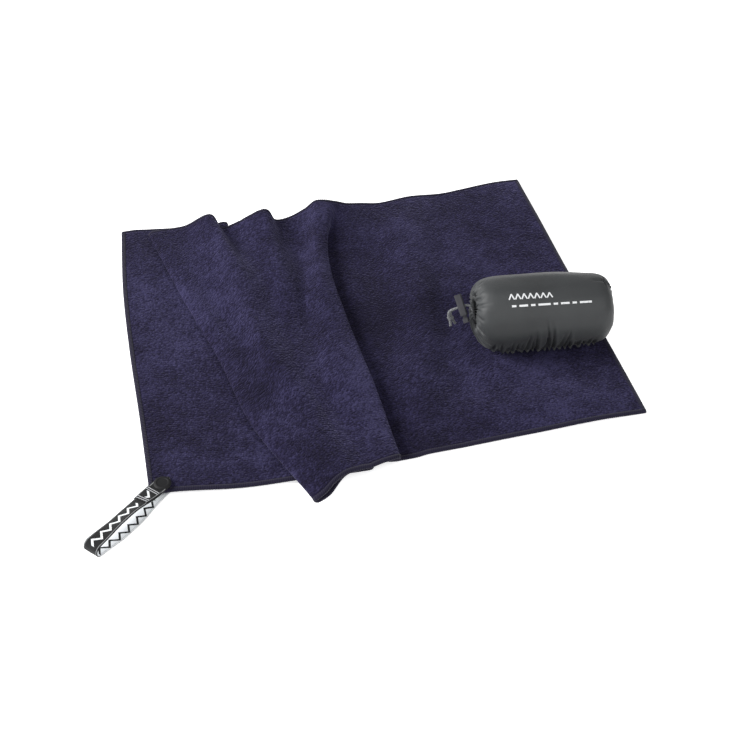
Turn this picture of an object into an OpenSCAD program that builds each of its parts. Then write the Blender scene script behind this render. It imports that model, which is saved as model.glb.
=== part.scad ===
/* [Towel] */
// Thickness of the terry cloth
cloth_thickness = 2; // [1.6:0.1:2.2]
// Length of the left side edge, front corner to back corner
short_side = 300; // [280:5:320]
// Straight distance between the front corners as the folded towel lies
front_spread = 369; // [360:1:380]
// Width of the overlocked edge
hem_width = 3; // [2:0.5:5]
// Height that the snap lifts the cloth corner
corner_lift = 1.6; // [1.4:0.1:1.8]

/* [Hang loop] */
// Width of the webbing
strap_width = 12.5; // [10:0.5:15]
// Thickness of the webbing
strap_thickness = 1; // [0.8:0.1:1]
// Distance from the snap's centre to the far fold of the loop
loop_length = 75; // [60:1:90]
// Height of the loop's upper run where it is highest
loop_height = 10; // [9:0.1:11]
// Direction of the loop, anticlockwise from the towel's long side
loop_angle = 222; // [210:1:235]
// Radius of the snap's cap
cap_radius = 6.2; // [5.5:0.1:7]

/* [Stuff sack] */
// Length of the stuffed sack, mouth to seam
sack_length = 106; // [100:1:115]
// Radius of the stuffed sack
sack_radius = 29.5; // [28:0.5:31]
// Wall thickness of the sack
sack_wall = 0.8; // [0.6:0.1:1]
// Radius of the ring that the gathered mouth makes
mouth_radius = 9; // [8:0.5:10]

/* [Drawcord] */
// Diameter of the drawcord
cord_diameter = 2; // [1.8:0.1:2]
// Travel of the cord lock's button
button_travel = 2; // [1:0.5:2]

/* [Hidden] */

// Place of the towel's front left corner in the part's frame; every other place is measured from it
corner = [-160.06, -123.15, 0];
clearance = 0.4;

navy = [0.19, 0.18, 0.28];
thread_navy = [0.15, 0.14, 0.23];
charcoal = [0.27, 0.28, 0.29];
black = [0.09, 0.09, 0.1];
steel = [0.7, 0.7, 0.72];
light_grey = [0.72, 0.73, 0.75];

// ---- Cloth: lines that run from the front hem to the back hem, in order across the towel.
// Each is [five x places, five heights, front hem y, back hem y]; the five are evenly spaced along it.
function level(z) = [z, z, z, z, z];
lines = [
    // left panel, flat on the floor, to the crease hidden under the flap
    [[0, 2, 3, 6, 13], level(0), -3.5, short_side],
    [[18, 20, 20, 21, 24], level(0), -5, short_side],
    [[60, 50, 44, 38, 36], level(0), -10, 298],
    [[140, 130, 108, 94, 86], level(0), -13, 292],
    [[156.5, 146.5, 122.5, 106.5, 98.5], level(0), -13, 291],
    [[158, 148, 124, 108, 100], level(1.3), -13, 291],
    [[156.5, 146.5, 122.5, 106.5, 98.5], level(2.6), -13, 291],
    [[140, 130, 108, 94, 86], level(2.6), -16, 290],
    // left fold edge of the flap
    [[122, 93, 79, 61, 46], level(2.8), -34, 287],
    [[113, 83.5, 69.5, 51.5, 36.5], level(3.2), -39, 286],
    [[111.5, 82, 68, 50, 35], level(4.7), -39, 286],
    [[113, 83.5, 69.5, 51.5, 36.5], level(6.2), -39, 286],
    [[119, 92, 77, 59, 44], [9, 8.6, 8.2, 7.6, 7.2], -37, 286],
    // top of the flap: shallow valley, broad ridge, back pleats, deep valley
    [[127, 104, 87, 71, 64], [10.4, 9.2, 7.4, 6.8, 7.6], -30, 287],
    [[136, 120, 101, 98, 87], [10.6, 11.6, 13, 14, 16], -24, 287],
    [[142, 127, 110, 108, 94], [10.4, 10.8, 11.4, 11, 6.4], -22, 280],
    [[146, 132, 121, 117, 108], [10.4, 8.6, 7.6, 8.4, 9], -21.5, 280],
    [[149, 136, 129, 131, 132], [10.4, 8.2, 7, 12, 18], -21, 280],
    [[152, 139, 136, 140, 139], [10.4, 8, 6, 9, 8.6], -21, 277],
    [[155, 142, 142, 147, 151], [10.4, 8.2, 5.6, 5.4, 5.4], -21, 281],
    [[158, 146, 149, 157, 166], [10.4, 9.4, 8.6, 8.6, 9.6], -20, 284],
    [[165, 159, 159, 163, 175], [10.4, 11.6, 12, 13, 15.6], -18, 285],
    // right fold edge of the flap, which opens into a ridge at the back hem
    [[176, 174.5, 170.5, 170, 181], [9.2, 9.6, 10, 10.6, 16], -15, 285],
    [[177.5, 176, 172, 171.5, 185], [7.7, 8.2, 8.6, 9.2, 15.2], -14, 285],
    [[176, 174.5, 170.5, 170.5, 188], [6.4, 6.8, 7.2, 7.8, 14.2], -14, 285],
    [[160, 160, 164, 167, 191], [7.8, 7.8, 5, 6.6, 13.2], -13.5, 285],
    // hidden crease and the layer that climbs over the left one
    [[136, 146, 155, 162, 194], [7.8, 7.8, 2.8, 5, 12.2], -13, 285],
    [[123.5, 139.5, 151.5, 160.5, 196], [7.8, 7.8, 2.6, 3.6, 11.4], -13, 285],
    [[122, 138, 150, 159, 198], [6.5, 6.5, 1.3, 2.3, 10.6], -13, 285],
    [[123.5, 139.5, 151.5, 160.5, 200], [5.2, 5.2, 0, 1, 9.9], -12.5, 285],
    [[140, 148, 158, 166, 203], [5.2, 5.2, 0, 0.8, 9], -12, 285],
    [[162, 158, 168, 176, 208], [5.2, 5.2, 0.4, 1.6, 7.6], -11, 286],
    [[174, 172, 180, 188, 216], [0.6, 1, 0.6, 2, 6], -9, 287],
    // right panel: dark hollow, soft ridge, then flat to the right edge
    [[190, 192, 203, 208, 232], [0, 0, 0, 0.6, 3.4], -8, 288],
    [[203, 215, 231, 241, 258], [1.2, 4.4, 6.2, 6, 4], -7, 290],
    [[228, 240, 254, 266, 286], [0, 0, 0.2, 0.6, 0.6], -5, 292],
    [[262, 264, 270, 284, 306], level(0), -4, 295],
    [[front_spread - 18, 350, 346, 342, 340], level(0), -0.5, 299],
    [[front_spread, 366.5, 363, 360.5, 358], level(0), 0, 299]
];
last_line = len(lines) - 1;
steps_across = 2;
steps_along = 12;

// Smooth curve through four neighbouring values
function ease(a, b, c, d, t) =
    b + 0.5 * t * (c - a + t * (2 * a - 5 * b + 4 * c - d + t * (3 * (b - c) + d - a)));
function pick(list, i) = list[max(0, min(len(list) - 1, i))];
function along(list, v) =
    let (s = v * (len(list) - 1), i = min(floor(s), len(list) - 2), t = s - i)
    ease(pick(list, i - 1), list[i], list[i + 1], pick(list, i + 2), t);
function line_point(line, v) =
    [along(line[0], v), line[2] + (line[3] - line[2]) * v, along(line[1], v)];
function lift_at(p) =
    corner_lift * exp(-(pow(p[0] - snap[0], 2) + pow(p[1] - snap[1], 2)) / 1500);

// Middle surface of the cloth: s counts the lines across, v runs from 0 at the front to 1 at the back
function cloth_middle(s, v) =
    let (
        i = min(floor(s), last_line - 1),
        p = ease(line_point(pick(lines, i - 1), v), line_point(lines[i], v),
                 line_point(lines[i + 1], v), line_point(pick(lines, i + 2), v), s - i)
    )
    [p[0], p[1], max(0, p[2]) + lift_at(p) + cloth_thickness / 2];
function cloth_normal(s, v) =
    let (
        across = cloth_middle(min(s + 0.1, last_line), v) - cloth_middle(max(s - 0.1, 0), v),
        forward = cloth_middle(s, min(v + 0.02, 1)) - cloth_middle(s, max(v - 0.02, 0)),
        n = cross(across, forward)
    )
    n / norm(n);
function cloth_point(s, v, side) =
    let (p = cloth_middle(s, v) + cloth_normal(s, v) * side * cloth_thickness / 2)
    [p[0], p[1], max(0, p[2])];

// A piece of the cloth between two places across and two along it
module cloth_piece(s_from, s_to, v_from, v_to, columns, rows) {
    s_at = [for (i = [0:columns]) s_from + (s_to - s_from) * i / columns];
    v_at = [for (j = [0:rows]) v_from + (v_to - v_from) * j / rows];
    wide = columns + 1;
    layer = wide * (rows + 1);
    points = [for (side = [-1, 1]) for (v = v_at) for (s = s_at) cloth_point(s, v, side)];
    function spot(i, j) = j * wide + i;
    faces = concat(
        [for (j = [0:rows - 1]) for (i = [0:columns - 1]) each [
            [spot(i, j), spot(i + 1, j + 1), spot(i, j + 1)],
            [spot(i, j), spot(i + 1, j), spot(i + 1, j + 1)],
            [layer + spot(i, j), layer + spot(i, j + 1), layer + spot(i + 1, j + 1)],
            [layer + spot(i, j), layer + spot(i + 1, j + 1), layer + spot(i + 1, j)]]],
        [for (i = [0:columns - 1]) each [
            [spot(i + 1, 0), spot(i, 0), layer + spot(i, 0)],
            [spot(i + 1, 0), layer + spot(i, 0), layer + spot(i + 1, 0)],
            [spot(i, rows), spot(i + 1, rows), layer + spot(i + 1, rows)],
            [spot(i, rows), layer + spot(i + 1, rows), layer + spot(i, rows)]]],
        [for (j = [0:rows - 1]) each [
            [spot(0, j), spot(0, j + 1), layer + spot(0, j + 1)],
            [spot(0, j), layer + spot(0, j + 1), layer + spot(0, j)],
            [spot(columns, j + 1), spot(columns, j), layer + spot(columns, j)],
            [spot(columns, j + 1), layer + spot(columns, j), layer + spot(columns, j + 1)]]]
    );
    polyhedron(points, faces, convexity = 10);
}
hem_v = hem_width / short_side;
hem_s = hem_width / 18;
full_columns = last_line * steps_across;

module towel_cloth() {
    color(navy) from_corner()
        cloth_piece(hem_s, last_line - hem_s, hem_v, 1 - hem_v, full_columns, steps_along);
}
module hem_front() {
    color(thread_navy) from_corner() cloth_piece(0, last_line, 0, hem_v, full_columns, 1);
}
module hem_back() {
    color(thread_navy) from_corner() cloth_piece(0, last_line, 1 - hem_v, 1, full_columns, 1);
}
module hem_left() {
    color(thread_navy) from_corner() cloth_piece(0, hem_s, hem_v, 1 - hem_v, 1, steps_along);
}
module hem_right() {
    color(thread_navy) from_corner()
        cloth_piece(last_line - hem_s, last_line, hem_v, 1 - hem_v, 1, steps_along);
}
module from_corner() { translate(corner) children(); }

// ---- Snap and hang loop. The loop's own x axis points outward from the snap.
snap = [9.5, 1, 0];
post_radius = 1.5;
cloth_top = corner_lift + cloth_thickness;
stud_flange = 0.4;
stud_top = cloth_top + 1.9;
stud_radius = 2.1;
socket_bottom = cloth_top + stud_flange + clearance;
socket_radius = 4.4;
strap_bottom = stud_top + 0.5;
strap_top = strap_bottom + strap_thickness;
turn_radius = loop_height / 2;
turn_x = loop_length - turn_radius;
arch_x = 40;
strap_end = 7;
gap_angle = 47;

module at_snap() { from_corner() translate(snap) children(); }
module along_loop() { at_snap() rotate([0, 0, loop_angle]) children(); }
// Outline of the webbing in the loop's own x and z, carried across its width, with a round end at the snap
module strap_band() {
    far = 2 * loop_length;
    tall = 2 * loop_height;
    intersection() {
        rotate([90, 0, 0]) translate([0, 0, -strap_width / 2]) linear_extrude(strap_width) children();
        union() {
            translate([0, 0, -1]) cylinder(r = strap_width / 2, h = tall, $fn = 64);
            translate([0, -strap_width, -1]) cube([far, 2 * strap_width, tall]);
        }
    }
}
// Part of the far fold, between two angles about the fold's own axis
module turn_band(from_angle, to_angle) {
    reach = 2 * turn_radius;
    middle = (from_angle + to_angle) / 2;
    translate([turn_x, turn_radius]) intersection() {
        difference() {
            circle(r = turn_radius, $fn = 64);
            circle(r = turn_radius - strap_thickness, $fn = 64);
        }
        polygon([[0, 0], for (a = [from_angle, middle, to_angle]) reach * [cos(a), sin(a)]]);
    }
}
// Height of the upper run's underside, rising from the snap to the arch
function run_z(x) =
    let (t = max(0, min(1, (x - cap_radius) / (arch_x - cap_radius))))
    strap_bottom + (loop_height - strap_thickness - strap_bottom) * t * t * (3 - 2 * t);

module strap_lower() {
    color(black) along_loop() difference() {
        strap_band() union() {
            translate([-strap_end, 0]) square([turn_x + strap_end, strap_thickness]);
            turn_band(-90, -gap_angle - 2);
        }
        translate([0, 0, -1]) cylinder(r = post_radius + clearance, h = 4, $fn = 32);
        translate([0, 0, -1]) cylinder(r = 4.9, h = 1.65, $fn = 48);
    }
}
module strap_upper() {
    run = [for (k = [0:12]) -strap_end + (turn_x + strap_end) * k / 12];
    color(black) along_loop() difference() {
        strap_band() union() {
            polygon(concat([for (x = run) [x, run_z(x)]],
                           [for (k = [12:-1:0]) [run[k], run_z(run[k]) + strap_thickness]]));
            turn_band(-2, 90);
        }
        cylinder(r = 1.3, h = 20, $fn = 32);
    }
}
// Cut end of the webbing, folded back on the upper run beside the snap
module strap_tab() {
    tab_from = cap_radius + 1.8;
    tab_to = 23.5;
    steps = [for (k = [0:5]) tab_from + (tab_to - tab_from) * k / 5];
    color(black) along_loop() strap_band()
        polygon(concat([for (x = steps) [x, run_z(x) + strap_thickness]],
                       [for (k = [5:-1:0]) [steps[k], run_z(steps[k]) + 2 * strap_thickness]]));
}
module strap_stitching() {
    stitch = 0.4;
    color(thread_navy) along_loop()
        for (x = [10.5, 13, 15.5], y = [-4:2:4])
            translate([x - stitch / 2, y - 0.6, run_z(x) + 2 * strap_thickness])
                cube([stitch, 1.2, 0.3]);
}
module snap_post() {
    color(steel) at_snap() union() {
        cylinder(r = 4.5, h = 0.3, $fn = 48);
        cylinder(r = post_radius, h = cloth_top + stud_flange, $fn = 32);
    }
}
module snap_stud() {
    color(steel) at_snap() difference() {
        union() {
            translate([0, 0, cloth_top]) cylinder(r = 3.8, h = stud_flange, $fn = 48);
            translate([0, 0, cloth_top]) cylinder(r = stud_radius - 0.25, h = stud_top - cloth_top, $fn = 32);
            translate([0, 0, stud_top - 0.8]) cylinder(r = stud_radius, h = 0.5, $fn = 32);
        }
        translate([0, 0, cloth_top - 1]) cylinder(r = post_radius, h = 1 + stud_flange, $fn = 32);
    }
}
module snap_socket() {
    color(black) at_snap() difference() {
        translate([0, 0, socket_bottom])
            cylinder(r = socket_radius, h = strap_bottom - socket_bottom, $fn = 48);
        translate([0, 0, socket_bottom - 1])
            cylinder(r = stud_radius + clearance, h = stud_top + 0.25 - socket_bottom + 1, $fn = 32);
        translate([0, 0, socket_bottom + 0.3]) cylinder(r = 3.3, h = 0.7, $fn = 48);
    }
}
module snap_spring() {
    color(steel) at_snap() translate([0, 0, socket_bottom + 0.65])
        rotate_extrude($fn = 48) translate([2.9, 0]) circle(r = 0.3, $fn = 16);
}
module snap_cap() {
    dome = 0.9;
    color(black) at_snap() union() {
        translate([0, 0, strap_bottom]) cylinder(r = 1.2, h = strap_thickness, $fn = 32);
        translate([0, 0, strap_top]) rotate_extrude($fn = 64) polygon([
            [0, 0], [cap_radius, 0], [cap_radius, 0.25], [cap_radius - 0.3, 0.5],
            [cap_radius - 1.4, dome], [cap_radius - 2, dome], [cap_radius - 2.4, dome - 0.2], [0, dome - 0.2]]);
    }
}

// ---- Stuff sack. Its own x axis runs from the mouth, at the left, to the end seam.
mouth_end_rise = 1.6;
sack_place = [262.5, 98, cloth_thickness + clearance + sack_radius + mouth_end_rise];
sack_turn = [0, 2.2, -4.4];
seam_angle = 48;
seam_depth = 2.2;
channel_radius = 2.6;
mouth_place = [2.6, 2.5, 2.5];
// Slot in the channel where the two cords come out
exit_angle = 236;
exit_radius = 2.4;
roll_pitch = 4.4;
roll_thickness = 3.8;
roll_turns = 5.2;
roll_from = 22;
roll_length = 68;
roll_sides = 24;
side_seam_from = 22;
side_seam_length = 66;
seam_width = 1.6;
// Half outline of the sack as [x, radius], for a sack of length 1 and radius 1
shell_points = [[0.026, 0.14], [0.018, 0.32], [0, 0.46], [-0.008, 0.6], [0.014, 0.78], [0.06, 0.91],
                [0.14, 0.98], [0.27, 1], [0.55, 0.98], [0.8, 0.93], [0.92, 0.88], [0.978, 0.7],
                [0.996, 0.4], [1, 0]];
shell_steps = 40;

module on_sack() {
    from_corner() translate(sack_place) rotate(sack_turn) children();
}
// Round shape about the sack's x axis, from a half outline of [x, radius] points
module around_sack() {
    rotate([0, 90, 0]) rotate([0, 0, 90]) rotate_extrude($fn = 48) children();
}
function shell_point(k) =
    let (p = along_points(shell_points, k / shell_steps)) [p[0] * sack_length, p[1] * sack_radius];
// Outline moved inward by inset, as [radius, x]
function shell_outline(inset) =
    [for (k = [0:shell_steps])
        let (
            p = shell_point(k),
            d = unit(shell_point(min(k + 1, shell_steps)) - shell_point(max(k - 1, 0)))
        )
        [k == shell_steps ? 0 : max(0, p[1] - inset * d[0]), p[0] + inset * d[1]]];
function along_points(points, v) =
    let (s = v * (len(points) - 1), i = min(floor(s), len(points) - 2), t = s - i)
    ease(pick(points, i - 1), points[i], points[i + 1], pick(points, i + 2), t);

module at_mouth() { on_sack() translate(mouth_place) children(); }
module mouth_hoop(radius, sides) {
    around_sack() translate([mouth_radius, 0]) circle(r = radius, $fn = sides);
}
module sack_shell() {
    color(charcoal) difference() {
        on_sack() around_sack() polygon(concat(
            shell_outline(0), [for (k = [shell_steps:-1:0]) shell_outline(sack_wall)[k]]));
        at_mouth() rotate([0, 90, 0])
            cylinder(r = mouth_radius + cord_diameter / 2 + clearance, h = 16, center = true, $fn = 48);
    }
}
module sack_channel() {
    color(charcoal) at_mouth() difference() {
        mouth_hoop(channel_radius, 24);
        mouth_hoop(cord_diameter / 2 + clearance, 24);
        translate([-channel_radius - 1, mouth_radius * cos(exit_angle), mouth_radius * sin(exit_angle)])
            rotate([0, 90, 0]) cylinder(r = exit_radius, h = channel_radius + 0.9, $fn = 24);
    }
}
module sack_side_seam() {
    color(charcoal) on_sack() rotate([seam_angle, 0, 0])
        translate([side_seam_from, -sack_radius - seam_depth, -seam_width / 2])
            cube([side_seam_length, seam_depth + 1.2, seam_width]);
}
module sack_end_seam() {
    from_step = shell_steps - 8;
    half = concat([for (k = [from_step:shell_steps]) shell_outline(-seam_depth)[k]],
                  [for (k = [shell_steps:-1:from_step]) shell_outline(0.3)[k]]);
    color(charcoal) on_sack() rotate([90, 0, 0]) translate([0, 0, -seam_width / 2])
        linear_extrude(seam_width) union() {
        polygon([for (p = half) [p[1], p[0]]]);
        polygon([for (p = half) [p[1], -p[0]]]);
    }
}
// Second towel, rolled up and stuffed in the sack
module packed_towel() {
    steps = floor(roll_turns * roll_sides);
    function turn_point(k, extra) =
        let (a = 360 * k / roll_sides, r = 1.2 + roll_pitch * k / roll_sides + extra) [r * cos(a), r * sin(a)];
    color(navy) on_sack() translate([roll_from, 0, 0]) rotate([90, 0, 90]) linear_extrude(roll_length)
        polygon(concat([for (k = [0:steps]) turn_point(k, 0)],
                       [for (k = [steps:-1:0]) turn_point(k, roll_thickness * min(1, (steps - k) / 8))]));
}

// ---- Drawcord and cord lock. The lock's own x axis runs along the cords to the mouth, and its z axis
// runs up its body. The cords leave the mouth at its front, rise to the lock, pass through it and droop.
lock_lean = [-43, -20, 0];
lock_place = [-12.3, 2, 2.8];
cord_gap = 1.15;
hole = cord_diameter / 2 + 0.3;
body_size = [5.5, 9, 16.5];
body_bottom = -7;
bore_size = [3.6, 6.2];
bore_top = 6;
stem_size = [2.9, 5.5];
stem_top = hole + 1;
button_size = [4.6, 7.4, 3.4];
button_gap = 0.4 + button_travel;
knot_place = [-10.8, 4.7, -5.2];
knot_radius = 2.6;
strand_a_route = [
    [7.8, 5.5, -14.7], [6.9, 4.9, -12.9], [6.4, 4.2, -10.8], [6.5, 3.3, -8.6], [6.8, 2.3, -6.4],
    [7, 1.6, -4.2], [6.5, 1.25, -2.1], [5.1, cord_gap, -0.6], [3, cord_gap, 0], [0, cord_gap, 0],
    [-3, cord_gap, 0], [-6, cord_gap, 0], [-8, 1.5, -0.4], [-9.5, 2.7, -1.6], [-10, 4.2, -3.3],
    [-10, 5.9, -5.1], [-9.6, 7.8, -7.9], [-8.9, 9.2, -10.6]];
strand_b_route = [
    [8.2, 3.2, -15.1], [7.3, 2.6, -13.1], [6.7, 1.9, -11], [6.6, 1, -8.8], [6.8, 0, -6.5],
    [7, -0.7, -4.2], [6.5, -1.05, -2.1], [5.1, -cord_gap, -0.6], [3, -cord_gap, 0], [0, -cord_gap, 0],
    [-3, -cord_gap, 0], [-6, -cord_gap, 0], [-8.8, -0.9, -0.3], [-10.7, 0.2, -1.5], [-11.5, 1.7, -3.3],
    [-11.6, 3.4, -5.3], [-12, 5, -8.3], [-12.7, 6, -11.3]];

function unit(v) = v / norm(v);
function path_direction(path, i) =
    unit(path[min(i + 1, len(path) - 1)] - path[max(i - 1, 0)]);
function square_to(direction) = unit(cross(direction, abs(direction[2]) < 0.9 ? [0, 0, 1] : [1, 0, 0]));
// First of the two directions across the tube at ring i, carried along it without a twist
function ring_side(path, i) =
    i == 0 ? square_to(path_direction(path, 0)) :
    let (before = ring_side(path, i - 1), d = path_direction(path, i)) unit(before - d * (before * d));
// Tube with flat ends along a list of points
module tube(path, radius, sides = 8) {
    rings = len(path);
    points = [for (i = [0:rings - 1])
        let (d = path_direction(path, i), a = ring_side(path, i), b = cross(d, a))
        for (k = [0:sides - 1]) path[i] + radius * (a * cos(360 * k / sides) + b * sin(360 * k / sides))];
    function spot(i, k) = i * sides + k % sides;
    faces = concat(
        [for (i = [0:rings - 2]) for (k = [0:sides - 1]) each [
            [spot(i, k), spot(i + 1, k + 1), spot(i, k + 1)],
            [spot(i, k), spot(i + 1, k), spot(i + 1, k + 1)]]],
        [[for (k = [0:sides - 1]) k]],
        [[for (k = [sides - 1:-1:0]) spot(rings - 1, k)]]
    );
    polyhedron(points, faces, convexity = 6);
}
module in_lock() {
    at_mouth() translate(lock_place) rotate(lock_lean) children();
}
module rounded_block(size, radius) {
    linear_extrude(size[2]) union() {
        square([size[0] - 2 * radius, size[1]], center = true);
        square([size[0], size[1] - 2 * radius], center = true);
        for (x = [-1, 1], y = [-1, 1])
            translate([x * (size[0] / 2 - radius), y * (size[1] / 2 - radius)]) circle(r = radius, $fn = 24);
    }
}
module drawcord_ring() {
    color(light_grey) at_mouth() mouth_hoop(cord_diameter / 2, 16);
}
module drawcord_strand_a() { color(light_grey) in_lock() tube(strand_a_route, cord_diameter / 2); }
module drawcord_strand_b() { color(light_grey) in_lock() tube(strand_b_route, cord_diameter / 2); }
module drawcord_knot() { color(light_grey) in_lock() translate(knot_place) sphere(r = knot_radius, $fn = 32); }
module cord_lock_body() {
    slot = [body_size[0] + 2, 2 * (cord_gap + hole), 2 * hole];
    eye = [body_size[0] + 2, 4.5, 1.6];
    color(black) in_lock() difference() {
        translate([0, 0, body_bottom]) rounded_block(body_size, 1.4);
        translate([-bore_size[0] / 2, -bore_size[1] / 2, body_bottom - 1])
            cube([bore_size[0], bore_size[1], bore_top - body_bottom + 1]);
        translate(-slot / 2) cube(slot);
        translate([-eye[0] / 2, -eye[1] / 2, bore_top + 0.9]) cube(eye);
    }
}
module cord_lock_button() {
    slot = [stem_size[0] + 2, 2 * (cord_gap + hole) - 0.4, 2 * hole + button_travel];
    stem_bottom = body_bottom - button_gap;
    color(black) in_lock() difference() {
        union() {
            translate([0, 0, stem_bottom - button_size[2]]) rounded_block(button_size, 1.2);
            translate([-stem_size[0] / 2, -stem_size[1] / 2, stem_bottom - 0.5])
                cube([stem_size[0], stem_size[1], stem_top - stem_bottom + 0.5]);
        }
        translate([-slot[0] / 2, -slot[1] / 2, -hole - button_travel]) cube(slot);
    }
}
module cord_lock_spring() {
    wire = 0.25;
    coil_radius = 1.1;
    turns = 3;
    length = bore_top - stem_top - 2 * wire - 0.1;
    coil = [for (k = [0:turns * 12])
        [coil_radius * cos(k * 30), coil_radius * sin(k * 30), stem_top + wire + 0.05 + length * k / (turns * 12)]];
    color(steel) in_lock() tube(coil, wire, 6);
}

towel_cloth();
hem_front();
hem_back();
hem_left();
hem_right();
strap_lower();
strap_upper();
strap_tab();
strap_stitching();
snap_post();
snap_stud();
snap_socket();
snap_spring();
snap_cap();
sack_shell();
sack_side_seam();
sack_end_seam();
sack_channel();
packed_towel();
drawcord_ring();
drawcord_strand_a();
drawcord_strand_b();
drawcord_knot();
cord_lock_body();
cord_lock_button();
cord_lock_spring();
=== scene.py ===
import math

import bpy
import numpy as np
from mathutils import Euler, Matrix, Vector


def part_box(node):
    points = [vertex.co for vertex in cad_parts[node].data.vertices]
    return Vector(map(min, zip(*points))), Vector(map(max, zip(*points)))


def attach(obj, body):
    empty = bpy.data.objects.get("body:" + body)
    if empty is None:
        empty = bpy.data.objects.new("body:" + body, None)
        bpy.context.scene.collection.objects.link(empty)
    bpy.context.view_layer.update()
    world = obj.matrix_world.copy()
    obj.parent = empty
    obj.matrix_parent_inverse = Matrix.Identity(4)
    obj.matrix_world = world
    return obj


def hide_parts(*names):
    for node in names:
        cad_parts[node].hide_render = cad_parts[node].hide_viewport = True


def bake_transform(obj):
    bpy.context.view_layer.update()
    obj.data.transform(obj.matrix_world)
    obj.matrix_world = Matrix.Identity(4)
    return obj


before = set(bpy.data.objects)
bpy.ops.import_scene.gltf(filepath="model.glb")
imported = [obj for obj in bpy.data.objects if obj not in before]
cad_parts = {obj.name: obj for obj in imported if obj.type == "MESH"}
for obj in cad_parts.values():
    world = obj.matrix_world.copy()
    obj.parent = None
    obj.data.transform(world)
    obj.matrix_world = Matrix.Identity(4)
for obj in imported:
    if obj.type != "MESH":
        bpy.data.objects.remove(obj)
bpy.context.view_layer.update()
MM = 0.001

# ---- Places, in millimetres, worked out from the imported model


def box_middle(node):
    """Middle of a CAD node's box, in millimetres."""
    low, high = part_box(node)
    return np.array((low + high) / 2) / MM


CLOTH_THICKNESS = 2.0
SHORT_SIDE = 300.0
SNAP_FROM_CORNER = np.array([9.5, 1.0])
snap_centre = box_middle("snap_cap")
corner = np.array([snap_centre[0] - SNAP_FROM_CORNER[0], snap_centre[1] - SNAP_FROM_CORNER[1], 0.0])

# ---- Small helpers


def new_object(name, points, faces, smooth=True):
    """Mesh object from points in millimetres in the row frame."""
    mesh = bpy.data.meshes.new(name)
    mesh.from_pydata([tuple(float(c) * MM for c in p) for p in points], [], faces)
    mesh.validate()
    mesh.update()
    if smooth:
        mesh.polygons.foreach_set("use_smooth", [True] * len(mesh.polygons))
    thing = bpy.data.objects.new(name, mesh)
    bpy.context.scene.collection.objects.link(thing)
    return thing


def set_uv(thing, values):
    """One (u, v) pair in millimetres for each vertex."""
    layer = thing.data.uv_layers.new(name="cloth_mm")
    loops = np.zeros(len(thing.data.loops), dtype=np.int32)
    thing.data.loops.foreach_get("vertex_index", loops)
    layer.data.foreach_set("uv", np.asarray(values, dtype=np.float32)[loops].ravel())


def smooth_step(x, low, high):
    """0 below low, 1 above high, and a smooth rise between them."""
    t = np.clip((np.asarray(x, float) - low) / (high - low), 0.0, 1.0)
    return t * t * (3 - 2 * t)


def hermite(knots, values, at):
    """Smooth curve through values at uneven knots; values may hold arrays."""
    knots = np.asarray(knots, float)
    values = np.asarray(values, float)
    shape = (-1,) + (1,) * (values.ndim - 1)
    step = np.diff(knots).reshape(shape)
    slope = np.diff(values, axis=0) / step
    tangent = np.empty_like(values)
    tangent[1:-1] = (slope[:-1] * step[1:] + slope[1:] * step[:-1]) / (step[1:] + step[:-1])
    tangent[0], tangent[-1] = slope[0], slope[-1]
    at = np.asarray(at, float)
    i = np.clip(np.searchsorted(knots, at, side="right") - 1, 0, len(knots) - 2)
    h = step[i]
    t = ((at - knots[i]).reshape(shape)) / h
    return ((1 + 2 * t) * (1 - t) ** 2 * values[i] + t * (1 - t) ** 2 * h * tangent[i]
            + t * t * (3 - 2 * t) * values[i + 1] + t * t * (t - 1) * h * tangent[i + 1])


def grid_faces(rows, columns, offset=0, flip=False, wrap=False):
    """Quads of a rows x columns grid of vertices; wrap joins the last column to the first."""
    faces = []
    for r in range(rows - 1):
        for c in range(columns if wrap else columns - 1):
            d = (c + 1) % columns
            quad = (offset + r * columns + c, offset + r * columns + d,
                    offset + (r + 1) * columns + d, offset + (r + 1) * columns + c)
            faces.append(quad[::-1] if flip else quad)
    return faces


def tube_faces(rows, columns, offset=0):
    """Faces of a tube of rows of vertices, with both its ends closed."""
    first = tuple(range(offset, offset + columns))
    last = tuple(k + (rows - 1) * columns for k in first)
    return grid_faces(rows, columns, offset, wrap=True) + [first[::-1], last]


def distance_along(path):
    """Distance from the start of a path to each of its points."""
    return np.concatenate([[0], np.cumsum(np.linalg.norm(np.diff(path, axis=0), axis=1))])


def unit_rows(a):
    return a / np.linalg.norm(a, axis=-1)[..., None]


def lumps(points, size, seed):
    """Smooth repeatable noise from -1 to 1 at points in millimetres, about size millimetres across."""
    rng = np.random.default_rng(seed)
    total = np.zeros(points.shape[:-1])
    for _ in range(7):
        direction = rng.normal(size=3)
        direction *= 2 * math.pi / (size * rng.uniform(1.2, 2.6)) / np.linalg.norm(direction)
        total += np.sin(points @ direction + rng.uniform(0, 2 * math.pi))
    return total / 3.2


def sweep(name, path, section):
    """Closed tube carried along a path without a twist. section(i) gives (side, up) pairs at ring i."""
    path = np.asarray(path, float)
    forward = np.gradient(path, axis=0)
    forward /= np.linalg.norm(forward, axis=1)[:, None]
    side = np.cross(forward[0], (0, 0, 1))
    side /= np.linalg.norm(side)
    points = []
    for i, (p, f) in enumerate(zip(path, forward)):
        side = side - f * (side @ f)
        side /= np.linalg.norm(side)
        lift = np.cross(side, f)
        ring = section(i)
        points += [p + side * a + lift * b for a, b in ring]
    return new_object(name, points, tube_faces(len(path), len(ring)))


# ---- Camera at the photograph's angle
CAMERA_ELEVATION = math.radians(42.8)
CAMERA_AZIMUTH = math.radians(-12.6)
CAMERA_DISTANCE = 1224.0
LOOK_AT = corner + np.array([178.1, 93.6, 0.0])
LENS = 78.37


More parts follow.
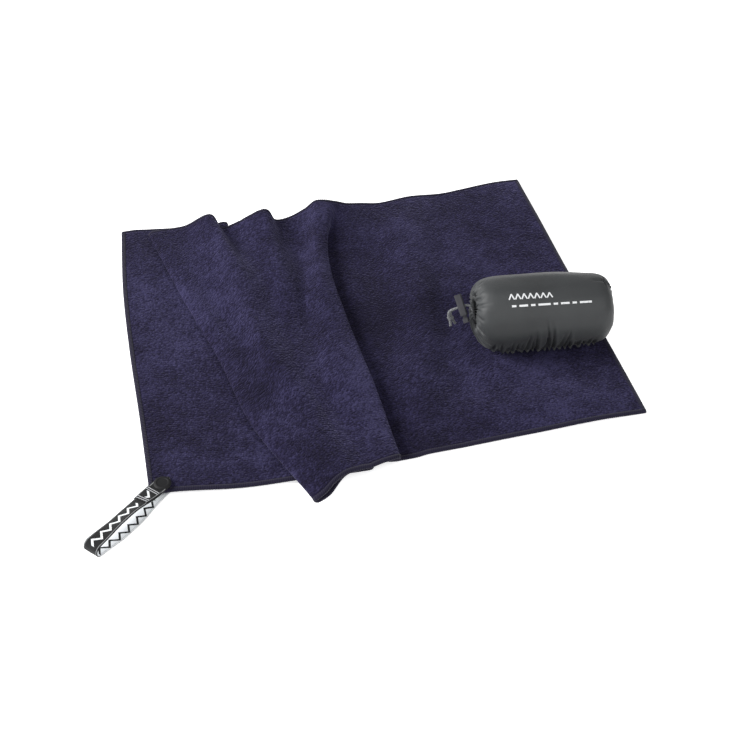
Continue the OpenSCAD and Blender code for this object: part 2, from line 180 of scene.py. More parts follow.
def add_camera():
    data = bpy.data.cameras.new("camera")
    data.lens = LENS
    data.sensor_width = 36.0
    camera = bpy.data.objects.new("camera", data)
    back = np.array([math.sin(CAMERA_AZIMUTH) * math.cos(CAMERA_ELEVATION),
                     -math.cos(CAMERA_AZIMUTH) * math.cos(CAMERA_ELEVATION), math.sin(CAMERA_ELEVATION)])
    camera.location = Vector((LOOK_AT + back * CAMERA_DISTANCE) * MM)
    camera.rotation_euler = Vector(-back).to_track_quat("-Z", "Y").to_euler()
    bpy.context.scene.collection.objects.link(camera)
    bpy.context.scene.camera = camera


add_camera()

# ---- Materials


class Nodes:
    """A short way to write a node tree."""

    def __init__(self, name):
        self.material = bpy.data.materials.new(name)
        self.material.use_nodes = True
        self.tree = self.material.node_tree
        self.shader = self.tree.nodes["Principled BSDF"]

    def add(self, kind, inputs=None, **settings):
        node = self.tree.nodes.new(kind)
        for key, value in settings.items():
            setattr(node, key, value)
        for key, value in (inputs or {}).items():
            if isinstance(value, bpy.types.NodeSocket):
                self.tree.links.new(value, node.inputs[key])
            else:
                node.inputs[key].default_value = value
        return node

    def math(self, operation, a, b=0.0, c=0.0):
        node = self.add("ShaderNodeMath", {0: a, 1: b, 2: c}, operation=operation)
        return node.outputs[0]

    def mix(self, factor, a, b):
        node = self.add("ShaderNodeMix", data_type="RGBA")
        for index, value in ((0, factor), (6, a), (7, b)):
            if isinstance(value, bpy.types.NodeSocket):
                self.tree.links.new(value, node.inputs[index])
            else:
                node.inputs[index].default_value = value
        return node.outputs[2]

    def ramp(self, factor, stops):
        node = self.add("ShaderNodeValToRGB", {0: factor})
        ramp = node.color_ramp
        ramp.elements[0].position, ramp.elements[0].color = stops[0]
        ramp.elements[1].position, ramp.elements[1].color = stops[-1]
        for position, colour in stops[1:-1]:
            ramp.elements.new(position).color = colour
        return node.outputs[0]

    def noise(self, vector, scale, detail=2.0, roughness=0.5):
        node = self.add("ShaderNodeTexNoise",
                        {"Vector": vector, "Scale": scale, "Detail": detail, "Roughness": roughness})
        return node.outputs[0]

    def bump(self, height, strength, distance):
        inputs = {"Height": height, "Strength": strength, "Distance": distance}
        return self.add("ShaderNodeBump", inputs).outputs[0]

    def set(self, **values):
        for key, value in values.items():
            socket = self.shader.inputs[key.replace("_", " ")]
            if isinstance(value, bpy.types.NodeSocket):
                self.tree.links.new(value, socket)
            else:
                socket.default_value = value
        return self.material

    def object_place(self):
        return self.add("ShaderNodeTexCoord").outputs["Object"]

    def cloth_place(self):
        """u and v of the cloth_mm map, in millimetres."""
        uv = self.add("ShaderNodeUVMap", uv_map="cloth_mm").outputs[0]
        split = self.add("ShaderNodeSeparateXYZ", {0: uv})
        return uv, split.outputs[0], split.outputs[1]


def rgb(r, g, b):
    return (r, g, b, 1.0)


def terry_material():
    """Navy loops, each a little lighter or darker than the next, with painted shade on the low cloth beside
    the pleat.
    """
    m = Nodes("terry")
    uv, _, v = m.cloth_place()
    place = m.object_place()
    nap = m.noise(place, 9.0, 2.0, 0.5)
    mottle = m.noise(place, 60.0, 3.0, 0.6)
    loops = m.add("ShaderNodeTexVoronoi", {"Vector": uv, "Scale": 0.62, "Randomness": 1.0})
    loop_shade = m.add("ShaderNodeSeparateXYZ", {0: loops.outputs["Color"]}).outputs[0]
    speckle = m.noise(uv, 0.5, 4.0, 0.75)
    rows = m.math("SINE", m.math("MULTIPLY", v, 2 * math.pi / 2.1))
    height = m.math("ADD", m.math("MULTIPLY", loops.outputs["Distance"], -1.0),
                    m.math("ADD", m.math("MULTIPLY", speckle, 0.8), m.math("MULTIPLY", rows, 0.05)))
    large = m.math("ADD", m.math("MULTIPLY", nap, 0.45), m.math("MULTIPLY", mottle, 0.35))
    fine = m.math("ADD", m.math("MULTIPLY", loop_shade, 0.16), m.math("MULTIPLY", speckle, 0.55))
    painted_pleat_shade = m.add("ShaderNodeAttribute", attribute_name="painted_pleat_shade").outputs["Fac"]
    # Painted shade: the attribute from the cloth mesh darkens the terry beside the pleat.
    tone_and_painted_shade = m.math("SUBTRACT", m.math("ADD", large, fine), m.math("MULTIPLY", painted_pleat_shade, 0.09))
    colour = m.ramp(tone_and_painted_shade, [(0.60, rgb(0.0034, 0.0024, 0.0090)), (0.74, rgb(0.0090, 0.0074, 0.0235)),
                           (0.90, rgb(0.0250, 0.0225, 0.0580))])
    return m.set(Base_Color=colour, Roughness=0.95, Sheen_Weight=0.22, Sheen_Roughness=0.4,
                 Sheen_Tint=rgb(0.45, 0.43, 0.72), Specular_IOR_Level=0.1,
                 Normal=m.bump(height, 0.7, 0.0010))


def overlock_material():
    m = Nodes("overlock")
    uv, u, v = m.cloth_place()
    along = m.math("MULTIPLY", u, 2 * math.pi / 1.6)
    thread = m.math("SINE", m.math("ADD", along, m.math("MULTIPLY", v, 1.2)))
    fibre = m.noise(uv, 6.0, 2.0)
    colour = m.mix(m.math("MULTIPLY_ADD", thread, 0.25, 0.5),
                   rgb(0.005, 0.004, 0.012), rgb(0.014, 0.012, 0.028))
    height = m.math("ADD", m.math("MULTIPLY", thread, 0.5), m.math("MULTIPLY", fibre, 0.3))
    return m.set(Base_Color=colour, Roughness=0.9, Sheen_Weight=0.1, Specular_IOR_Level=0.1,
                 Normal=m.bump(height, 0.6, 0.0004))


ZIGZAG_PERIOD = 9.0
ZIGZAG_HEIGHT = 2.4
ZIGZAG_STROKE = 0.75


def webbing_material(name, ground, motif, motif_from, motif_to, motif_side=0.0):
    """Woven tape: ground colour, a zigzag motif between two places along it, and a rib across it."""
    m = Nodes(name)
    uv, u, v = m.cloth_place()
    wobble = m.math("MULTIPLY_ADD", m.noise(uv, 0.9, 1.0), 0.5, -0.25)
    saw = m.math("FRACT", m.math("DIVIDE", m.math("ADD", u, wobble), ZIGZAG_PERIOD))
    wave = m.math("MULTIPLY", m.math("SUBTRACT", m.math("ABSOLUTE", m.math("SUBTRACT", saw, 0.5)), 0.25),
                  4 * ZIGZAG_HEIGHT)
    off = m.math("ABSOLUTE", m.math("SUBTRACT", m.math("SUBTRACT", v, motif_side), wave))
    on_line = m.math("LESS_THAN", off, ZIGZAG_STROKE * 1.5)
    inside = m.math("MULTIPLY", m.math("GREATER_THAN", u, motif_from), m.math("LESS_THAN", u, motif_to))
    edge = m.math("GREATER_THAN", m.math("ABSOLUTE", v), 5.2)
    border = m.math("MULTIPLY", edge, m.math("LESS_THAN", m.math("ABSOLUTE", v), 5.6))
    mask = m.math("MAXIMUM", m.math("MULTIPLY", on_line, inside), m.math("MULTIPLY", border, 0.35))
    ribs = m.math("SINE", m.math("MULTIPLY", u, 2 * math.pi / 0.8))
    warp = m.math("SINE", m.math("MULTIPLY", v, 2 * math.pi / 0.55))
    weave = m.math("MULTIPLY", ribs, warp)
    shade = m.math("MULTIPLY_ADD", weave, 0.12, m.math("MULTIPLY_ADD", m.noise(uv, 2.0, 2.0), 0.5, 0.62))
    colour = m.mix(mask, ground, motif)
    lit = m.add("ShaderNodeMix", data_type="RGBA", blend_type="MULTIPLY")
    lit.inputs[0].default_value = 1.0
    m.tree.links.new(colour, lit.inputs[6])
    m.tree.links.new(m.add("ShaderNodeCombineXYZ", {0: shade, 1: shade, 2: shade}).outputs[0], lit.inputs[7])
    height = m.math("ADD", weave, m.math("MULTIPLY", mask, 0.8))
    return m.set(Base_Color=lit.outputs[2], Roughness=0.75, Sheen_Weight=0.05, Specular_IOR_Level=0.2,
                 Normal=m.bump(height, 0.5, 0.0002))


def nylon_material():
    m = Nodes("sack_nylon")
    _, u, v = m.cloth_place()
    place = m.object_place()
    across = m.math("SINE", m.math("MULTIPLY", u, 2 * math.pi / 0.7))
    around = m.math("SINE", m.math("MULTIPLY", v, 2 * math.pi / 0.7))
    weave = m.math("MULTIPLY", across, around)
    crinkle = m.noise(place, 160.0, 4.0, 0.65)
    soft = m.noise(place, 38.0, 2.0)
    colour = m.mix(m.math("MULTIPLY_ADD", soft, 0.9, m.math("MULTIPLY", crinkle, 0.2)),
                   rgb(0.018, 0.0195, 0.0205), rgb(0.034, 0.0365, 0.0385))
    rough = m.math("MULTIPLY_ADD", crinkle, 0.2, 0.46)
    height = m.math("ADD", m.math("MULTIPLY", crinkle, 1.0), m.math("MULTIPLY", weave, 0.08))
    return m.set(Base_Color=colour, Roughness=rough, Sheen_Weight=0.05, Specular_IOR_Level=0.35,
                 Normal=m.bump(height, 0.45, 0.0006))


def print_material():
    m = Nodes("print_ink")
    place = m.object_place()
    worn = m.noise(place, 900.0, 3.0, 0.7)
    colour = m.mix(m.math("GREATER_THAN", worn, 0.63), rgb(0.58, 0.59, 0.60), rgb(0.24, 0.25, 0.26))
    return m.set(Base_Color=colour, Roughness=0.6, Normal=m.bump(worn, 0.3, 0.0002))


def thread_material():
    m = Nodes("bar_tack_thread")
    place = m.object_place()
    fibre = m.noise(place, 2500.0, 2.0)
    colour = m.mix(fibre, rgb(0.30, 0.31, 0.33), rgb(0.62, 0.63, 0.65))
    return m.set(Base_Color=colour, Roughness=0.6, Sheen_Weight=0.2, Normal=m.bump(fibre, 0.4, 0.0001))


def cord_material():
    m = Nodes("cord")
    uv, u, v = m.cloth_place()
    one = m.math("SINE", m.math("ADD", m.math("MULTIPLY", u, 2.6), m.math("MULTIPLY", v, 3.0)))
    other = m.math("SINE", m.math("SUBTRACT", m.math("MULTIPLY", u, 2.6), m.math("MULTIPLY", v, 3.0)))
    braid = m.math("MAXIMUM", one, other)
    fibre = m.noise(uv, 5.0, 3.0)
    colour = m.mix(m.math("MULTIPLY_ADD", braid, 0.4, 0.4), rgb(0.020, 0.021, 0.024), rgb(0.17, 0.175, 0.185))
    height = m.math("ADD", braid, m.math("MULTIPLY", fibre, 0.4))
    return m.set(Base_Color=colour, Roughness=0.7, Sheen_Weight=0.2, Normal=m.bump(height, 0.5, 0.0002))


def plastic_material(name, colour, light, roughness):
    m = Nodes(name)
    place = m.object_place()
    grain = m.noise(place, 1400.0, 3.0)
    smudge = m.noise(place, 120.0, 2.0)
    tint = m.mix(smudge, colour, light)
    return m.set(Base_Color=tint, Roughness=m.math("MULTIPLY_ADD", smudge, 0.2, roughness),
                 Specular_IOR_Level=0.22, Normal=m.bump(grain, 0.25, 0.0001))


def metal_material():
    m = Nodes("nickel")
    place = m.object_place()
    brushed = m.noise(place, 700.0, 4.0)
    colour = m.mix(brushed, rgb(0.50, 0.50, 0.51), rgb(0.72, 0.72, 0.74))
    return m.set(Base_Color=colour, Metallic=1.0, Roughness=m.math("MULTIPLY_ADD", brushed, 0.2, 0.22),
                 Normal=m.bump(brushed, 0.15, 0.0001))


def floor_material():
    m = Nodes("floor")
    place = m.object_place()
    colour = m.mix(m.noise(place, 2.0, 2.0), rgb(0.86, 0.86, 0.86), rgb(0.89, 0.89, 0.89))
    return m.set(Base_Color=colour, Roughness=0.7, Emission_Color=rgb(1, 1, 1), Emission_Strength=0.62)


TERRY = terry_material()
OVERLOCK = overlock_material()
NYLON = nylon_material()
INK = print_material()
CORD = cord_material()
CAP_PLASTIC = plastic_material("snap_plastic", rgb(0.003, 0.003, 0.0035), rgb(0.008, 0.008, 0.009), 0.5)
LOCK_PLASTIC = plastic_material("lock_plastic", rgb(0.022, 0.022, 0.026), rgb(0.046, 0.046, 0.052), 0.45)
METAL = metal_material()
THREAD = thread_material()
BLACK, PALE = rgb(0.0055, 0.006, 0.0065), rgb(0.80, 0.82, 0.84)
WEBBING_OUT = webbing_material("webbing_black_face", BLACK, PALE, 33.0, 80.0)
WEBBING_IN = webbing_material("webbing_pale_face", PALE, BLACK, 90.0, 150.0, 2.6)
WEBBING_TAB = webbing_material("webbing_tab", BLACK, PALE, 4.4, 10.6)

# ---- The towel: a smooth surface through lines that run from the front hem to the back hem


def level(z):
    return [z] * 5


FRONT_SPREAD = 369.0
# Each line is (five places across, five heights, front hem y, back hem y)
LINES = [
    ([0, 2, 3, 6, 13], level(0), -3.5, 300),
    ([18, 20, 20, 21, 24], level(0), -5, 300),
    ([60, 50, 44, 38, 36], level(0), -10, 298),
    ([140, 130, 108, 94, 86], level(0), -13, 292),
    ([156.5, 146.5, 122.5, 106.5, 98.5], level(0), -13, 291),
    ([158, 148, 124, 108, 100], level(1.3), -13, 291),
    ([156.5, 146.5, 122.5, 106.5, 98.5], level(2.6), -13, 291),
    ([140, 130, 108, 94, 86], level(2.6), -16, 290),
    ([122, 93, 79, 61, 46], level(2.8), -34, 287),
    ([113, 83.5, 69.5, 51.5, 36.5], level(3.2), -39, 286),
    ([111.5, 82, 68, 50, 35], level(4.7), -39, 286),
    ([113, 83.5, 69.5, 51.5, 36.5], level(6.2), -39, 286),
    ([119, 92, 77, 59, 44], [9, 8.6, 8.2, 7.6, 7.2], -37, 286),
    ([127, 104, 87, 71, 64], [10.4, 9.2, 7.4, 6.8, 7.6], -30, 287),
    ([136, 120, 101, 98, 87], [10.6, 11.6, 13, 14, 16], -24, 287),
    ([142, 127, 110, 108, 94], [10.4, 10.8, 11.4, 11, 6.4], -22, 280),
    ([146, 132, 121, 117, 108], [10.4, 8.6, 7.6, 8.4, 9], -21.5, 280),
    ([149, 136, 129, 131, 132], [10.4, 8.2, 7, 12, 18], -21, 280),
    ([152, 139, 136, 140, 139], [10.4, 8, 6, 9, 8.6], -21, 277),
    ([155, 142, 142, 147, 151], [10.4, 8.2, 5.6, 5.4, 5.4], -21, 281),
    ([158, 146, 149, 157, 166], [10.4, 9.4, 8.6, 8.6, 9.6], -20, 284),
    ([165, 159, 159, 163, 175], [10.4, 11.6, 12, 13, 15.6], -18, 285),
    ([176, 174.5, 170.5, 170, 181], [9.2, 9.6, 10, 10.6, 16], -15, 285),
    ([177.5, 176, 172, 171.5, 185], [7.7, 8.2, 8.6, 9.2, 15.2], -14, 285),
    ([176, 174.5, 170.5, 170.5, 188], [6.4, 6.8, 7.2, 7.8, 14.2], -14, 285),
    ([160, 160, 164, 167, 191], [7.8, 7.8, 5, 6.6, 13.2], -13.5, 285),
    ([136, 146, 155, 162, 194], [7.8, 7.8, 2.8, 5, 12.2], -13, 285),
    ([123.5, 139.5, 151.5, 160.5, 196], [7.8, 7.8, 2.6, 3.6, 11.4], -13, 285),
    ([122, 138, 150, 159, 198], [6.5, 6.5, 1.3, 2.3, 10.6], -13, 285),
    ([123.5, 139.5, 151.5, 160.5, 200], [5.2, 5.2, 0, 1, 9.9], -12.5, 285),
    ([140, 148, 158, 166, 203], [5.2, 5.2, 0, 0.8, 9], -12, 285),
    ([162, 158, 168, 176, 208], [5.2, 5.2, 0.4, 1.6, 7.6], -11, 286),
    ([174, 172, 180, 188, 216], [0.6, 1, 0.6, 2, 6], -9, 287),
    ([190, 192, 203, 208, 232], [0, 0, 0, 0.6, 3.4], -8, 288),
    ([203, 215, 231, 241, 258], [1.2, 4.4, 6.2, 6, 4], -7, 290),
    ([228, 240, 254, 266, 286], [0, 0, 0.2, 0.6, 0.6], -5, 292),
    ([262, 264, 270, 284, 306], level(0), -4, 295),
    ([FRONT_SPREAD - 18, 350, 346, 342, 340], level(0), -0.5, 299),
    ([FRONT_SPREAD, 366.5, 363, 360.5, 358], level(0), 0, 299),
]
CORNER_LIFT = 1.6
WAVE_HEIGHT = 0.9
PLEAT_SIDE = 177.5
SAMPLE = 2.0
# Middle of the place under the sack, where the cloth stays flat
SACK_REST = np.array([312.0, 96.0])


def line_points(v):
    """Every line's point at each v, shape (lines, rows, 3)."""
    stations = np.linspace(0, 1, 5)
    grid = np.empty((len(LINES), len(v), 3))
    for i, (across, height, front, back) in enumerate(LINES):
        grid[i, :, 0] = hermite(stations, across, v)
        grid[i, :, 1] = front + (back - front) * v
        grid[i, :, 2] = hermite(stations, height, v)
    return grid


def line_knots():
    """Place of each line along the cloth, so that folds and flat panels both come out smooth."""
    grid = line_points(np.linspace(0, 1, 9))
    gaps = np.linalg.norm(np.diff(grid, axis=0), axis=2).mean(axis=1)
    return np.concatenate([[0], np.cumsum(np.sqrt(gaps))]), gaps


KNOTS, GAPS = line_knots()


def samples_across(step):
    """Places across the cloth about step millimetres apart, with at least four in each fold."""
    at = [0.0]
    for i, gap in enumerate(GAPS):
        count = max(3 if gap < 4 else 2, int(round(gap / step)))
        at += list(KNOTS[i] + (KNOTS[i + 1] - KNOTS[i]) * np.arange(1, count + 1) / count)
    return np.array(at)


def cloth_middle(s, v):
    """Middle surface of the cloth at the places s across and v along, shape (rows, columns, 3)."""
    grid = hermite(KNOTS, line_points(v), s).transpose(1, 0, 2)
    grid[..., 2] = np.maximum(grid[..., 2], 0)
    away = (grid[..., 0] - SNAP_FROM_CORNER[0]) ** 2 + (grid[..., 1] - SNAP_FROM_CORNER[1]) ** 2
    aside, ahead = (np.abs(grid[..., k] - SACK_REST[k]) for k in (0, 1))
    under_sack = (1 - smooth_step(aside, 65, 105)) * (1 - smooth_step(ahead, 42, 75))
    waves = WAVE_HEIGHT * (1 + lumps(grid * (1, 0.6, 0), 34.0, 8)) * (1 - under_sack)
    grid[..., 2] += (CORNER_LIFT * np.exp(-away / 1500) + CLOTH_THICKNESS / 2
                     + np.clip(waves, 0, 2 * WAVE_HEIGHT))
    return grid + corner


def surface_normals(grid):
    across = np.gradient(grid, axis=1)
    along = np.gradient(grid, axis=0)
    n = np.cross(across, along)
    return n / np.linalg.norm(n, axis=2)[..., None]


def cloth_lengths(grid):
    """Distance across and along the cloth itself, for its weave."""
    u = np.concatenate([np.zeros((grid.shape[0], 1)),
                        np.cumsum(np.linalg.norm(np.diff(grid, axis=1), axis=2), axis=1)], axis=1)
    v = np.concatenate([np.zeros((1, grid.shape[1])),
                        np.cumsum(np.linalg.norm(np.diff(grid, axis=0), axis=2), axis=0)], axis=0)
    return u - u[:, :1], v


def add_cloth():
    s = samples_across(SAMPLE)
    v = np.linspace(0.006, 0.994, int(SHORT_SIDE / SAMPLE))
    middle = cloth_middle(s, v)
    normal = surface_normals(middle)
    u_mm, v_mm = cloth_lengths(middle)
    pile = lumps(np.dstack([u_mm, v_mm, u_mm * 0]), 4.0, 3) * 0.05
    half = CLOTH_THICKNESS / 2
    top = middle + normal * (half + pile)[..., None]
    bottom = middle - normal * (half + pile * 0.5)[..., None]
    bottom[..., 2] = np.maximum(bottom[..., 2], 0.02)
    rows, columns = len(v), len(s)
    points = np.concatenate([top.reshape(-1, 3), bottom.reshape(-1, 3)])
    layer = rows * columns
    faces = grid_faces(rows, columns) + grid_faces(rows, columns, layer, flip=True)
    for c in range(columns - 1):
        last = (rows - 1) * columns
        faces.append((c, c + layer, c + 1 + layer, c + 1))
        faces.append((last + c + 1, last + c + 1 + layer, last + c + layer, last + c))
    for r in range(rows - 1):
        a, b = r * columns, (r + 1) * columns
        faces.append((b, b + layer, a + layer, a))
        faces.append((a + columns - 1, a + columns - 1 + layer, b + columns - 1 + layer, b + columns - 1))
    cloth = new_object("towel_terry", points, faces)
    uv = np.stack([u_mm.ravel(), v_mm.ravel()], axis=1)
    set_uv(cloth, np.concatenate([uv, uv]))
    # Painted shade beside the pleat, stored on the mesh for the terry material.
    painted_pleat_shade = paint_shade_beside_pleat(middle)
    layer_values = cloth.data.attributes.new("painted_pleat_shade", "FLOAT", "POINT").data
    layer_values.foreach_set("value", np.concatenate([painted_pleat_shade, painted_pleat_shade]).ravel())
    cloth.data.materials.append(TERRY)
    return cloth


def paint_shade_beside_pleat(middle):
    """Painted shade beside the pleat, from 0 to 1, that darkens the low, flat cloth there as if the pleat's
    shade fell on it.
    """
    beside = middle[..., 0] - corner[0] - PLEAT_SIDE
    flat = 1 - smooth_step(middle[..., 2], 4, 9)
    return smooth_step(beside, -25, 2) * (1 - smooth_step(beside, 22, 85)) * flat


HEM_WIDTH = 3.0
HEM_PROUD = 0.25
STITCH_PITCH = 1.6


def add_hem(name, node, edge, inward, normal):
    """Overlocked edge: a band that wraps the cloth's edge, with a ridge for each stitch."""
    length = distance_along(edge)
    half = CLOTH_THICKNESS / 2
    section = [(HEM_WIDTH, half - 0.2), (HEM_WIDTH - 0.4, half + HEM_PROUD), (0.4, half + HEM_PROUD),
               (-0.35, half * 0.6), (-0.55, 0), (-0.35, -half * 0.6), (0.4, -half - HEM_PROUD),
               (HEM_WIDTH - 0.4, -half - HEM_PROUD), (HEM_WIDTH, -half + 0.2)]
    points, uv = [], []
    for i in range(len(edge)):
        ridge = 0.16 * abs(math.sin(math.pi * length[i] / STITCH_PITCH))
        for j, (a, b) in enumerate(section):
            out = ridge if 0 < j < len(section) - 1 else 0.0
            reach = a - out if j in (3, 4, 5) else a
            height = b + math.copysign(out, b) if b != 0 else b
            p = edge[i] + inward[i] * reach + normal[i] * height
            points.append((p[0], p[1], max(p[2], 0.02)))
            uv.append((length[i], j * 1.2))
    hem = new_object(name, points, tube_faces(len(edge), len(section)))
    set_uv(hem, uv)
    hem.data.materials.append(OVERLOCK)
    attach(hem, "towel")
    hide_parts(node)
    return hem


def add_hems():
    step = 0.5
    s = samples_across(step)
    hems = []
    for name, node, v, sign in (("hem_front_thread", "hem_front", [0.0, 0.004, 0.008], 1),
                                ("hem_back_thread", "hem_back", [1.0, 0.996, 0.992], -1)):
        grid = cloth_middle(s, np.array(v))
        normal = unit_rows(np.cross(np.gradient(grid[0], axis=0), (grid[1] - grid[0]) * sign))
        hems.append(add_hem(name, node, grid[0], unit_rows(grid[2] - grid[0]), normal))
    v = np.linspace(0.004, 0.996, int(SHORT_SIDE / step))
    for name, node, ends in (("hem_left_thread", "hem_left", (KNOTS[0], KNOTS[0] + 0.4)),
                             ("hem_right_thread", "hem_right", (KNOTS[-1], KNOTS[-1] - 0.4))):
        grid = cloth_middle(np.array(ends), v)
        inward = unit_rows(grid[:, 1] - grid[:, 0])
        normal = unit_rows(np.cross(inward, np.gradient(grid[:, 0], axis=0)))
        normal *= np.sign(normal[:, 2:3])
        hems.append(add_hem(name, node, grid[:, 0], inward, normal))
    return hems


cloth = add_cloth()
hems = add_hems()
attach(cloth, "towel")
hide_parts("towel_cloth")

# ---- Places on the sack, its mouth and the cord lock
SACK_LENGTH = 106.0
SACK_RADIUS = 29.5
SACK_PLACE = np.array([262.5, 98.0, 33.5])
SACK_TURN = (0.0, 2.2, -4.4)
MOUTH_PLACE = np.array([2.6, 2.5, 2.5])
MOUTH_RADIUS = 9.0
LOCK_PLACE = np.array([-12.3, 2.0, 2.8])
LOCK_LEAN = (-43.0, -20.0, 0.0)
CORD_DIAMETER = 2.0


def turned(angles):
    return np.array(Euler([math.radians(a) for a in angles]).to_matrix())


SACK_AXES = turned(SACK_TURN)
LOCK_AXES = turned(LOCK_LEAN)


def on_sack(points):
    return corner + SACK_PLACE + np.asarray(points, float) @ SACK_AXES.T


def at_mouth(points):
    return on_sack(MOUTH_PLACE + np.asarray(points, float))


def in_lock(points):
    return at_mouth(LOCK_PLACE + np.asarray(points, float) @ LOCK_AXES.T)


# ---- Drawcord: two strands from the slot in the channel, through the lock, to one knot
CORD_GAP = 1.15
STRAND_A = [
    (7.8, 5.5, -14.7), (6.9, 4.9, -12.9), (6.4, 4.2, -10.8), (6.5, 3.3, -8.6), (6.8, 2.3, -6.4),
    (7, 1.6, -4.2), (6.5, 1.25, -2.1), (5.1, CORD_GAP, -0.6), (3, CORD_GAP, 0), (0, CORD_GAP, 0),
    (-3, CORD_GAP, 0), (-6, CORD_GAP, 0), (-8, 1.5, -0.4), (-9.5, 2.7, -1.6), (-10, 4.2, -3.3),
    (-10, 5.9, -5.1), (-9.6, 7.8, -7.9), (-8.9, 9.2, -10.6)]
STRAND_B = [
    (8.2, 3.2, -15.1), (7.3, 2.6, -13.1), (6.7, 1.9, -11), (6.6, 1, -8.8), (6.8, 0, -6.5),
    (7, -0.7, -4.2), (6.5, -1.05, -2.1), (5.1, -CORD_GAP, -0.6), (3, -CORD_GAP, 0), (0, -CORD_GAP, 0),
    (-3, -CORD_GAP, 0), (-6, -CORD_GAP, 0), (-8.8, -0.9, -0.3), (-10.7, 0.2, -1.5), (-11.5, 1.7, -3.3),
    (-11.6, 3.4, -5.3), (-12, 5, -8.3), (-12.7, 6, -11.3)]
KNOT_PLACE = np.array([-10.8, 4.7, -5.2])
KNOT_SIZE = 0.62


def braided_tube(name, path, radius, sides=16):
    """Cord with the low relief of a braid, mapped in millimetres along and around it."""
    length = distance_along(path)

    def section(i):
        ring = []
        for k in range(sides):
            angle = 2 * math.pi * k / sides
            relief = 1 + 0.05 * math.sin(3 * angle + 2.2 * length[i]) * math.sin(3 * angle - 2.2 * length[i])
            ring.append((radius * relief * math.cos(angle), radius * relief * math.sin(angle)))
        return ring

    tube = sweep(name, path, section)
    uv = [(length[i], 2 * math.pi * radius * k / sides) for i in range(len(path)) for k in range(sides)]
    set_uv(tube, uv)
    tube.data.materials.append(CORD)
    return tube


def knot_path():
    turn = np.linspace(0, 2 * math.pi, 73)[:-1]
    loop = np.stack([np.sin(turn) + 2 * np.sin(2 * turn), np.cos(turn) - 2 * np.cos(2 * turn),
                     -1.3 * np.sin(3 * turn)], axis=1)
    return in_lock(KNOT_PLACE + loop * KNOT_SIZE)


def add_drawcord():
    knot = braided_tube("cord_knot", knot_path(), CORD_DIAMETER / 2 * 0.92, 12)
    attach(knot, "sack")
    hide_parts("drawcord_knot")
    for name, node, route, length in (("cord_strand_a", "drawcord_strand_a", STRAND_A, 0.043),
                                      ("cord_strand_b", "drawcord_strand_b", STRAND_B, 0.0445)):
        stations = np.arange(len(route), dtype=float)
        path = in_lock(hermite(stations, route, np.linspace(0, len(route) - 1, 6 * len(route))))
        strand = braided_tube(name, path, CORD_DIAMETER / 2)
        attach(strand, "sack")
        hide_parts(node)


add_drawcord()

# ---- Stuff sack: a thin shell gathered at its mouth and puckered along its seams
SACK_OUTLINE = [(0.024, 0.29), (0.018, 0.34), (0, 0.46), (-0.008, 0.6), (0.014, 0.78), (0.06, 0.91),
                (0.14, 0.98), (0.27, 1), (0.55, 0.98), (0.8, 0.93), (0.92, 0.88), (0.978, 0.7),
                (0.996, 0.4), (1, 0)]
SEAM_ANGLE = math.radians(228)
LOW_FRONT = math.radians(222)
PRINT_ANGLE = math.radians(115)
SACK_WALL = 0.5
SACK_LOWEST = 2.35
fold_rng = np.random.default_rng(11)
GATHERS = [(2 * math.pi * (k + fold_rng.uniform(-0.3, 0.3)) / 27, fold_rng.uniform(12, 30),
            fold_rng.uniform(1.3, 2.4)) for k in range(27)]
PUCKER_PLACES = [10 + 4.0 * k + fold_rng.uniform(-1.3, 1.3) for k in range(21)]
PUCKERS = [(x, (12 + 26 * math.exp(-((x - 50) / 24) ** 2)) * fold_rng.uniform(0.7, 1.2),
            fold_rng.uniform(1.6, 3.0), fold_rng.uniform(-0.14, 0.14)) for x in PUCKER_PLACES]
END_PUCKERS = [(4 + 4.2 * k + fold_rng.uniform(-1, 1), fold_rng.uniform(4, 9), fold_rng.uniform(0.6, 1.2))
               for k in range(7)]


def turn_gap(a, b):
    """Signed angle from b to a."""
    return (a - b + math.pi) % (2 * math.pi) - math.pi


def sack_outline():
    """Fine outline of the sack as (x, radius) rows, with the distance along it and its direction."""
    knots = np.linspace(0, 1, len(SACK_OUTLINE))
    outline = hermite(knots, SACK_OUTLINE, np.linspace(0, 1, 800)) * (SACK_LENGTH, SACK_RADIUS)
    return outline, distance_along(outline), unit_rows(np.gradient(outline, axis=0))


OUTLINE, OUTLINE_RUN, OUTLINE_SLOPE = sack_outline()


def share_at(x):
    """Share of the outline's length at x millimetres from the mouth, on the sack's outside."""
    lip = int(np.argmin(OUTLINE[:, 0]))
    return np.interp(x, OUTLINE[lip:, 0], OUTLINE_RUN[lip:]) / OUTLINE_RUN[-1]


